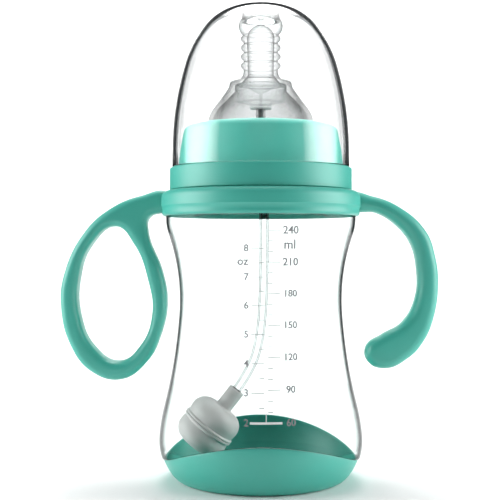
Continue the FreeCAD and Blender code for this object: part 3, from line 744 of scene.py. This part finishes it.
def text_mesh(words, size, across, height, depth):
    """Upright lettering centred on a place, X to the right and Z up, as a flat-backed mesh."""
    curve = bpy.data.curves.new(words, "FONT")
    curve.body = words
    curve.size = size
    curve.align_x = "CENTER"
    curve.align_y = "CENTER"
    curve.extrude = depth
    curve.offset = 0.06 * MM
    curve.resolution_u = 3
    carrier = bpy.data.objects.new(words, curve)
    bpy.context.scene.collection.objects.link(carrier)
    mesh = plain_mesh(carrier)
    mesh.transform(Matrix.Translation((across, 0, height)) @ Matrix.Rotation(math.pi / 2, 4, "X"))
    return mesh


def add_bar(bm, low, high, height, top, depth, steps=10):
    """A flat bar from low to high across and from height to top up, cut to follow a curve."""
    rows = max(1, int((top - height) / (2 * MM)))
    cells = bmesh.ops.create_grid(bm, x_segments=steps, y_segments=rows, size=0.5)["verts"]
    for vertex in cells:
        x, y = vertex.co.x + 0.5, vertex.co.y + 0.5
        vertex.co = Vector((low + (high - low) * x, -depth, height + (top - height) * y))
    faces = list({face for vertex in cells for face in vertex.link_faces})
    grown = bmesh.ops.extrude_face_region(bm, geom=faces)["geom"]
    for vertex in grown:
        if isinstance(vertex, bmesh.types.BMVert):
            vertex.co.y = depth


def make_marks():
    s = sizes()
    tree = tick_tree()
    # Painted shade: the grey on the proud ticks stands in for the dark edges of their clear moulded
    # ridges.
    ink = mark_paint("ridge_shade_grey", (0.55, 0.56, 0.57))
    # Painted highlight: the pale paint on the lowest proud mark stands in for the light its clear
    # moulded ridge bends back.
    white = mark_paint("ridge_highlight_white", (0.86, 0.87, 0.87))
    shared = {"width": s.mark_width, "depth": 2 * s.mark_proud}
    make_ticks(
        "millilitre_ticks", tree, ink, count=18, pitch=s.ml_pitch, every=3, first_long=2,
        long=4.4 * MM, short=1.8 * MM, start=(2.0 * MM, 0, s.scale_base + s.ml_pitch), **shared,
    )
    make_ticks(
        "ounce_ticks", tree, ink, count=12, pitch=s.oz_pitch / 2, every=2, first_long=1,
        long=-4.4 * MM, short=-1.8 * MM, start=(0.9 * MM, 0, s.scale_base + s.oz_pitch / 2), **shared,
    )
    bm = bmesh.new()
    line = 1.45 * MM
    half = s.mark_width / 2
    add_bar(bm, line - half, line + half, s.scale_base, s.scale_base + 3.2 * MM, s.mark_proud * 1.5)
    add_bar(bm, line - 5.4 * MM, line + 5.4 * MM, s.scale_base - 0.35 * MM, s.scale_base + 0.35 * MM,
            s.mark_proud * 1.5, 24)
    bar = mesh_piece("lowest_mark", bm, white)
    wrap_on_body(bar.data)
    settle(bar, "bottle", "clear_body")
    bm = bmesh.new()
    for volume in range(60, 241, 30):
        height = s.scale_base + s.ml_pitch * (volume - 60) / 10
        size = 3.7 * MM if volume > 200 else 3.3 * MM
        bm.from_mesh(text_mesh(str(volume), size, 9.9 * MM, height, s.mark_proud))
    for ounces in range(2, 9):
        height = s.scale_base + s.oz_pitch * (ounces - 2)
        bm.from_mesh(text_mesh(str(ounces), 3.3 * MM, -5.2 * MM, height, s.mark_proud))
    bm.from_mesh(text_mesh("ml", 4.4 * MM, 9.6 * MM, 84.6 * MM, s.mark_proud))
    bm.from_mesh(text_mesh("oz", 3.9 * MM, -6.4 * MM, 79.0 * MM, s.mark_proud))
    # Painted shade: the dark grey on the proud numerals stands in for the dark edges of their clear
    # moulded ridges.
    numerals = mesh_piece("measure_numerals", bm, mark_paint("print_grey", tuple(colours().print_grey)))
    wrap_on_body(numerals.data)
    settle(numerals, "bottle", "clear_body")


# Handles, collar and cap


LOOP_EDGE = (
    (0, 0), (0.27, 0.012), (0.555, 0.084), (0.78, 0.205), (0.972, 0.436), (1, 0.6),
    (0.903, 0.825), (0.719, 0.957), (0.448, 1), (0.215, 0.912), (0.077, 0.756),
    (0.023, 0.581), (0.069, 0.417), (0.2, 0.205), (0.19, 0.13), (0, 0.08),
)
LOOP_HOLE = (
    (0.496, 0.176), (0.719, 0.271), (0.839, 0.466), (0.829, 0.662), (0.703, 0.825),
    (0.476, 0.904), (0.271, 0.819), (0.159, 0.644), (0.197, 0.466), (0.327, 0.271),
)
HOOK_EDGE = (
    (0, 0), (0.22, 0.01), (0.555, 0.076), (0.859, 0.214), (0.965, 0.354), (1, 0.5),
    (0.952, 0.7), (0.837, 0.84), (0.647, 0.943), (0.369, 1), (0.18, 0.957),
    (0.17, 0.873), (0.356, 0.805), (0.59, 0.735), (0.74, 0.597), (0.756, 0.427),
    (0.683, 0.284), (0.519, 0.181), (0.298, 0.111), (0, 0.08),
)


def plate_mesh(name, rims, place, depth, rounding):
    """A flat plate with fully rounded edges. Each rim is a smooth closed line through points,
    and the first rim's ends meet in a straight stretch."""
    curve = bpy.data.curves.new(name, "CURVE")
    curve.dimensions = "2D"
    curve.fill_mode = "BOTH"
    curve.resolution_u = 14
    for number, rim in enumerate(rims):
        spline = curve.splines.new("BEZIER")
        spline.bezier_points.add(len(rim) - 1)
        spline.use_cyclic_u = True
        for point, share in zip(spline.bezier_points, rim):
            point.co = place(share)
            point.handle_left_type = point.handle_right_type = "AUTO"
        if number == 0:
            spline.bezier_points[0].handle_left_type = "VECTOR"
            spline.bezier_points[-1].handle_right_type = "VECTOR"
    curve.bevel_depth = rounding
    curve.offset = -rounding
    curve.extrude = depth / 2 - rounding
    curve.bevel_resolution = 7
    carrier = bpy.data.objects.new(name, curve)
    bpy.context.scene.collection.objects.link(carrier)
    mesh = plain_mesh(carrier)
    mesh.transform(Matrix.Rotation(math.pi / 2, 4, "X"))
    return mesh


def handle_mesh(name, side, rims, reach, low, depth, rounding):
    s = sizes()
    top = RING_HIGH.z - 1.1 * MM

    def place(share):
        out = s.handle_root + share[0] * (reach - s.handle_root)
        return (side * out, top - share[1] * (top - low), 0)

    return plate_mesh(name, rims, place, depth, rounding)


def make_handles():
    s = sizes()
    ring_low = RING_HIGH.z - s.ring_height
    ring_radius = RING_HIGH.y
    bore = s.land_radius + 0.08 * MM
    bm = bmesh.new()
    skirt = s.shoulder_radius + 0.4 * MM
    ring = trace(
        (bore, ring_low + s.ring_skirt),
        (skirt, ring_low + s.ring_skirt),
        (skirt, ring_low),
        (ring_radius - 1.4 * MM, ring_low),
        (ring_radius - 0.4 * MM, ring_low + 1.2 * MM, "arc"),
        (ring_radius, ring_low + 3.6 * MM, "arc"),
        (ring_radius - 0.1 * MM, RING_HIGH.z - 2.6 * MM),
        (ring_radius - 2.7 * MM, RING_HIGH.z, "arc"),
        (bore, RING_HIGH.z),
    )
    add_lathe(bm, lambda angle: ring, 256)
    bm.from_mesh(handle_mesh("loop", -1, (LOOP_EDGE, LOOP_HOLE), -RING_LOW.x, RING_LOW.z,
                             s.loop_depth, 2.6 * MM))
    bm.from_mesh(handle_mesh("hook", 1, (HOOK_EDGE,), RING_HIGH.x, 39.9 * MM, s.hook_depth, 3.4 * MM))
    settle(mesh_piece("handles", bm, mint_plastic(), 50), "handles", "mint_plastic", "handle_frame")


def make_collar():
    s = sizes()
    inside = s.neck_radius + s.thread_depth + 0.4 * MM
    band_radius = COLLAR_HIGH.y
    band_top = CAP_LOW.z - 0.3 * MM
    roof = COLLAR_HIGH.z - 2 * MM
    shell = trace(
        (inside, COLLAR_LOW.z),
        (inside + 1.8 * MM, COLLAR_LOW.z),
        (inside + 1.8 * MM, band_top - 1.8 * MM),
        (band_radius - 1.8 * MM, band_top - 1.8 * MM),
        (band_radius - 1.8 * MM, COLLAR_LOW.z),
        (band_radius, COLLAR_LOW.z),
        (band_radius, band_top),
        (30.3 * MM, band_top),
        (30.2 * MM, band_top + 0.6 * MM),
        (28.0 * MM, COLLAR_HIGH.z - 2.4 * MM),
        (25.6 * MM, COLLAR_HIGH.z, "arc"),
        (19.9 * MM, COLLAR_HIGH.z),
        (19.9 * MM, roof),
        (inside, roof),
    )
    bm = bmesh.new()
    add_lathe(bm, lambda angle: shell)
    start = s.thread_start - s.thread_pitch / 2
    add_thread(bm, inside, -s.thread_depth, start, s.thread_pitch, THREAD_TURNS, -THREAD_SINK)
    settle(mesh_piece("screw_collar", bm, mint_plastic()), "collar", "mint_plastic", "collar")


def make_cap():
    low, top = CAP_LOW.z, CAP_HIGH.z
    radius = CAP_HIGH.y
    wall = 1.35 * MM
    outside = trace(
        (radius - wall, low),
        (radius, low),
        (radius, 118 * MM),
        (27.8 * MM, 149.5 * MM, "arc"),
        (21 * MM, 163.2 * MM, "arc"),
        (6 * MM, top, "arc"),
        (4.9 * MM, top),
        (4.5 * MM, top - 0.5 * MM),
        (0, top - 0.5 * MM),
    )
    inside = trace(
        (radius - wall, low + 0.4 * MM),
        (radius - wall, 118 * MM),
        (27.8 * MM - wall, 149.5 * MM - 0.2 * wall, "arc"),
        (21 * MM - 0.9 * wall, 163.2 * MM - 0.5 * wall, "arc"),
        (7.6 * MM, top - wall - 0.1 * MM, "arc"),
        (7.0 * MM, top - wall - 0.2 * MM),
        (7.0 * MM, top - wall - 4.4 * MM),
        (6.0 * MM, top - wall - 4.4 * MM),
        (6.0 * MM, top - wall),
        (0, top - wall),
    )
    tint = tuple(colours().cap_tint)
    cap = lathe("travel_cap", [*outside, *reversed(inside)],
                clear_plastic("clear_cap", tint, 1.5), 256)
    settle(cap, "cap", "clear_cap", "dust_cap")


# Teat, connector and straw


def rib(stalk, height):
    """One rib on the stalk, a half round that blends into it."""
    return [
        (stalk, height - 1.25 * MM),
        (stalk + 0.5 * MM, height - 0.85 * MM),
        (stalk + 0.95 * MM, height, "arc"),
        (stalk + 0.5 * MM, height + 0.85 * MM, "arc"),
        (stalk, height + 1.25 * MM),
    ]


def make_teat():
    top = TEAT_HIGH.z
    wall = 1.6 * MM
    tip = 6.6 * MM
    bead = 143 * MM
    collar_top = COLLAR_HIGH.z
    hole = 0.45 * MM
    ribs = [point for step in range(4) for point in rib(6.3 * MM, 149.6 * MM + 3.3 * MM * step)]
    outside = trace(
        (17.8 * MM, TEAT_LOW.z),
        (TEAT_HIGH.y, TEAT_LOW.z),
        (TEAT_HIGH.y, TEAT_LOW.z + 2 * MM),
        (19.4 * MM, TEAT_LOW.z + 2 * MM),
        (19.4 * MM, collar_top),
        (16.8 * MM, 134.6 * MM, "arc"),
        (11.6 * MM, bead - 1.3 * MM, "arc"),
        (11.2 * MM, bead + 0.5 * MM),
        (9.3 * MM, bead + 0.9 * MM),
        (6.3 * MM, 148.0 * MM, "arc"),
        *ribs,
        (tip, top - tip + 1.6 * MM),
        (hole, top, "arc"),
        rounding=0.3 * MM,
    )
    inside = trace(
        (17.8 * MM, TEAT_LOW.z + 0.4 * MM),
        (17.8 * MM, collar_top),
        (15.2 * MM, 134.2 * MM, "arc"),
        (PLUG_HIGH.x + 0.05 * MM, 140.2 * MM),
        (PLUG_HIGH.x + 0.05 * MM, 142.6 * MM),
        (7.6 * MM, 142.65 * MM),
        (4.7 * MM, 146.2 * MM),
        (tip - wall, top - tip),
        (hole, top - wall, "arc"),
        rounding=0.3 * MM,
    )
    rubber = silicone("teat_silicone", 0.13, 0.95, 2)
    teat = lathe("ribbed_teat", [*outside, *reversed(inside)], rubber, 192)
    settle(teat, "teat_set", "clear_silicone", "teat")


def make_connector():
    radius = PLUG_HIGH.x
    low, top = PLUG_LOW.z, PLUG_HIGH.z
    spigot = sizes().straw_bore / 2 - 0.05 * MM
    bore = 0.6 * MM
    outline = trace(
        (bore, low),
        (spigot, low),
        (spigot, 134 * MM),
        (4.0 * MM, 134 * MM),
        (4.0 * MM, 136.4 * MM),
        (8.8 * MM, 136.4 * MM),
        (8.8 * MM, 139.8 * MM),
        (radius, 140.3 * MM),
        (radius, top),
        (6.5 * MM, top),
        (bore, 139.4 * MM),
        rounding=0.25 * MM,
    )
    plug = lathe("connector_plug", outline, frosted_plastic("clear_connector"), 128)
    settle(plug, "teat_set", "clear_connector", "straw_connector")


def weight_matrix(flip=0.0):
    """The weight's middle and tilt, with its stem along the tilted Z."""
    low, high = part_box("weight_core")
    middle = (low + high) / 2
    return Matrix.Translation(middle) @ Matrix.Rotation(math.radians(38) + flip, 4, "Y")


def straw_route():
    """The straw's corners, from under the connector's hub to the bottom of the stem's socket."""
    stem = (weight_matrix().to_3x3() @ Vector((0, 0, 1))).normalized()
    mouth = weight_matrix().translation + stem * 16.9 * MM
    return [
        Vector((0, 0, 133.9 * MM)),
        Vector((0, 0, 119 * MM)),
        Vector((1.3 * MM, 0, 98 * MM)),
        Vector((1.2 * MM, 0, 73 * MM)),
        Vector((0.3 * MM, 0, 52.5 * MM)),
        mouth + stem * 8 * MM,
        mouth - stem * 5.5 * MM,
    ]


def spline_points(route):
    """Close points on the smooth line that has the route's corners as its control points."""
    curve = bpy.data.curves.new("straw_line", "CURVE")
    curve.dimensions = "3D"
    spline = curve.splines.new("NURBS")
    spline.points.add(len(route) - 1)
    for point, corner in zip(spline.points, route):
        point.co = (*corner, 1)
    spline.order_u = 3
    spline.use_endpoint_u = True
    spline.resolution_u = 14
    carrier = bpy.data.objects.new("straw_line", curve)
    bpy.context.scene.collection.objects.link(carrier)
    return [vertex.co.copy() for vertex in plain_mesh(carrier).vertices]


def make_straw():
    s = sizes()
    line = spline_points(straw_route())
    bm = bmesh.new()
    rings = []
    for number, place in enumerate(line):
        ahead = line[min(number + 1, len(line) - 1)] - line[max(number - 1, 0)]
        across = ahead.normalized().cross(Vector((0, 1, 0)))
        ring = []
        for radius in (s.straw_outer / 2, s.straw_bore / 2):
            for step in range(32):
                angle = math.tau * step / 32
                reach = across * math.cos(angle) + Vector((0, 1, 0)) * math.sin(angle)
                ring.append(bm.verts.new(place + reach * radius))
        rings.append(ring)
    for first, second in zip(rings, rings[1:]):
        for wall in (0, 32):
            for step in range(32):
                here, after = wall + step, wall + (step + 1) % 32
                bm.faces.new((first[here], first[after], second[after], second[here]))
    for ring in (rings[0], rings[-1]):
        for step in range(32):
            after = (step + 1) % 32
            bm.faces.new((ring[step], ring[after], ring[32 + after], ring[32 + step]))
    straw = mesh_piece("silicone_straw", bm, silicone("straw_silicone", 0.0, 0.9, 1.5))
    settle(straw, "straw_set", "clear_silicone", "straw")
    run = sum((after - before).length for before, after in zip(line, line[1:]))
    tuple(line[0])


def weight_half(name, stem, flip, node):
    """Half of the weight: a full dome, a shallow waist and a thin proud rim on the joint."""
    s = sizes()
    stem_radius = 3.0 * MM
    joint = 0.03 * MM
    if stem:
        top = [
            (stem_radius + 0.5 * MM, 8.65 * MM, "arc"),
            (stem_radius, 9.3 * MM),
            (stem_radius, 16.9 * MM),
            (s.straw_outer / 2 + 0.05 * MM, 16.9 * MM),
            (s.straw_outer / 2 + 0.05 * MM, 11.4 * MM),
            (1.1 * MM, 11.4 * MM),
            (1.1 * MM, 7.2 * MM),
        ]
    else:
        top = [
            (3.5 * MM, 8.5 * MM, "arc"),
            (1.6 * MM, 8.7 * MM),
            (0.9 * MM, 8.2 * MM),
            (0.9 * MM, 7.2 * MM),
        ]
    outline = trace(
        (8.3 * MM, joint),
        (10.05 * MM, joint),
        (10.05 * MM, 0.75 * MM),
        (9.45 * MM, 1.1 * MM),
        (9.75 * MM, 2.9 * MM),
        *top,
        (6.0 * MM, 6.0 * MM),
        (8.3 * MM, 1.5 * MM),
        rounding=0.3 * MM,
    )
    piece = lathe(name, outline, weight_plastic(), 128)
    piece.data.transform(weight_matrix(flip))
    return settle(piece, "straw_set", "grey_plastic", node)


def make_weight():
    weight_half("weight_top", True, 0.0, "weight_upper_shell")
    weight_half("weight_bottom", False, math.pi, "weight_lower_shell")
    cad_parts["weight_core"].data.materials[0] = core_steel()


# Stage, lights and camera


def area_light(name, place, target, width, height, watts):
    """A soft box that is brightest in its middle and fades out to its edges."""
    light = bpy.data.lights.new(name, "AREA")
    light.shape = "RECTANGLE"
    light.size = width
    light.size_y = height
    light.energy = watts
    glow = Shader(name, light)
    across = glow.node("ShaderNodeNewGeometry", output="Parametric")
    u, v = glow.part_of(across, "X"), glow.part_of(across, "Y")
    strength = 30 * u * (1 - u) * v * (1 - v)
    surface = glow.node("ShaderNodeEmission", {}, {"Strength": strength})
    glow.node("ShaderNodeOutputLight", {}, {"Surface": surface})
    lamp = bpy.data.objects.new(name, light)
    lamp.location = place
    lamp.rotation_euler = (Vector(target) - Vector(place)).to_track_quat("-Z", "Y").to_euler()
    bpy.context.scene.collection.objects.link(lamp)


def make_stage():
    scene = bpy.context.scene
    bm = bmesh.new()
    half_width = 0.42
    sweep = trace((-0.6, 0), (0.9, 0), (1.3, 0.3, "arc"), (1.3, 0.66), rounding=0)
    rows = [[bm.verts.new((x, y, z)) for y, z in sweep] for x in (-half_width, half_width)]
    for place in range(len(sweep) - 1):
        bm.faces.new((rows[0][place], rows[1][place], rows[1][place + 1], rows[0][place + 1]))
    mesh = bpy.data.meshes.new("paper_sweep")
    bm.to_mesh(mesh)
    bm.free()
    mesh.shade_smooth()
    mesh.materials.append(stage_paper())
    paper = bpy.data.objects.new("paper_sweep", mesh)
    scene.collection.objects.link(paper)

    world = bpy.data.worlds.new("studio")
    world.use_nodes = True
    background = world.node_tree.nodes["Background"].inputs
    background["Color"].default_value = (0.9, 0.95, 1.0, 1)
    background["Strength"].default_value = 0.05
    scene.world = world
    middle = (0, 0, 85 * MM)
    for name, side in (("left_box", -1), ("right_box", 1)):
        area_light(name, (0.74 * side, -0.06, 0.25), middle, 0.9, 1.0, 9)
    area_light("front_fill", (0, -1.1, 0.5), middle, 1.0, 0.8, 0.3)
    area_light("top_box", (0, 0.25, 0.8), (0, 0.1, 0), 0.7, 0.7, 6)
    area_light("back_wash", (0, 0.6, 0.9), (0, 1.3, 0.15), 0.8, 0.4, 14)

    camera = bpy.data.cameras.new("camera")
    camera.lens = 75.6
    camera.sensor_width = 36
    view = bpy.data.objects.new("camera", camera)
    view.location = (-3.9 * MM, -382 * MM, 82.8 * MM)
    view.rotation_euler = (math.pi / 2, 0, 0)
    scene.collection.objects.link(view)
    scene.camera = view
    scene.view_settings.view_transform = "Standard"


class BOTTLE_OT_clear_body(bpy.types.Operator):
    """Builds the clear hourglass body and its neck thread"""

    bl_idname = "bottle.clear_body"
    bl_label = "Clear Body"

    def execute(self, context):
        make_body()
        return {"FINISHED"}


class BOTTLE_OT_base_cup(bpy.types.Operator):
    """Builds the cup with its wavy edge"""

    bl_idname = "bottle.base_cup"
    bl_label = "Base Cup"

    def execute(self, context):
        make_cup()
        return {"FINISHED"}


class BOTTLE_OT_measure_marks(bpy.types.Operator):
    """Builds the ticks, lines and numerals on the body"""

    bl_idname = "bottle.measure_marks"
    bl_label = "Measure Marks"

    def execute(self, context):
        make_marks()
        return {"FINISHED"}


class BOTTLE_OT_handles(bpy.types.Operator):
    """Builds the ring with its loop and its hook"""

    bl_idname = "bottle.handles"
    bl_label = "Handles"

    def execute(self, context):
        make_handles()
        return {"FINISHED"}


class BOTTLE_OT_screw_collar(bpy.types.Operator):
    """Builds the collar and its thread"""

    bl_idname = "bottle.screw_collar"
    bl_label = "Screw Collar"

    def execute(self, context):
        make_collar()
        return {"FINISHED"}


class BOTTLE_OT_ribbed_teat(bpy.types.Operator):
    """Builds the teat and the plug pressed into it"""

    bl_idname = "bottle.ribbed_teat"
    bl_label = "Ribbed Teat"

    def execute(self, context):
        make_teat()
        make_connector()
        return {"FINISHED"}


class BOTTLE_OT_weighted_straw(bpy.types.Operator):
    """Builds the straw and its weighted end"""

    bl_idname = "bottle.weighted_straw"
    bl_label = "Weighted Straw"

    def execute(self, context):
        make_weight()
        make_straw()
        return {"FINISHED"}


class BOTTLE_OT_travel_cap(bpy.types.Operator):
    """Builds the domed travel cap"""

    bl_idname = "bottle.travel_cap"
    bl_label = "Travel Cap"

    def execute(self, context):
        make_cap()
        return {"FINISHED"}


class BOTTLE_OT_bottle_stage(bpy.types.Operator):
    """Builds the paper, the lights and the camera"""

    bl_idname = "bottle.bottle_stage"
    bl_label = "Stage"

    def execute(self, context):
        make_stage()
        return {"FINISHED"}


OPERATORS = (
    BOTTLE_OT_clear_body,
    BOTTLE_OT_base_cup,
    BOTTLE_OT_measure_marks,
    BOTTLE_OT_handles,
    BOTTLE_OT_screw_collar,
    BOTTLE_OT_ribbed_teat,
    BOTTLE_OT_weighted_straw,
    BOTTLE_OT_travel_cap,
    BOTTLE_OT_bottle_stage,
)


class BOTTLE_PT_panel(bpy.types.Panel):
    """Lists the bottle's sizes, colours and build steps."""

    bl_label = "Baby Bottle"
    bl_idname = "BOTTLE_PT_panel"
    bl_space_type = "VIEW_3D"
    bl_region_type = "UI"
    bl_category = "Bottle"

    def draw(self, context):
        for group in (context.scene.bottle_sizes, context.scene.bottle_colours):
            for name in group.__annotations__:
                self.layout.prop(group, name)
        for operator in OPERATORS:
            self.layout.operator(operator.bl_idname)


CLASSES = (BottleSizes, BottleColours, *OPERATORS, BOTTLE_PT_panel)


def register():
    for item in CLASSES:
        bpy.utils.register_class(item)
    bpy.types.Scene.bottle_sizes = bpy.props.PointerProperty(type=BottleSizes)
    bpy.types.Scene.bottle_colours = bpy.props.PointerProperty(type=BottleColours)


def unregister():
    del bpy.types.Scene.bottle_colours
    del bpy.types.Scene.bottle_sizes
    for item in reversed(CLASSES):
        bpy.utils.unregister_class(item)


def main():
    register()
    for operator in OPERATORS:
        getattr(bpy.ops.bottle, operator.bl_idname.split(".")[1])()


if __name__ == "__main__":
    main()
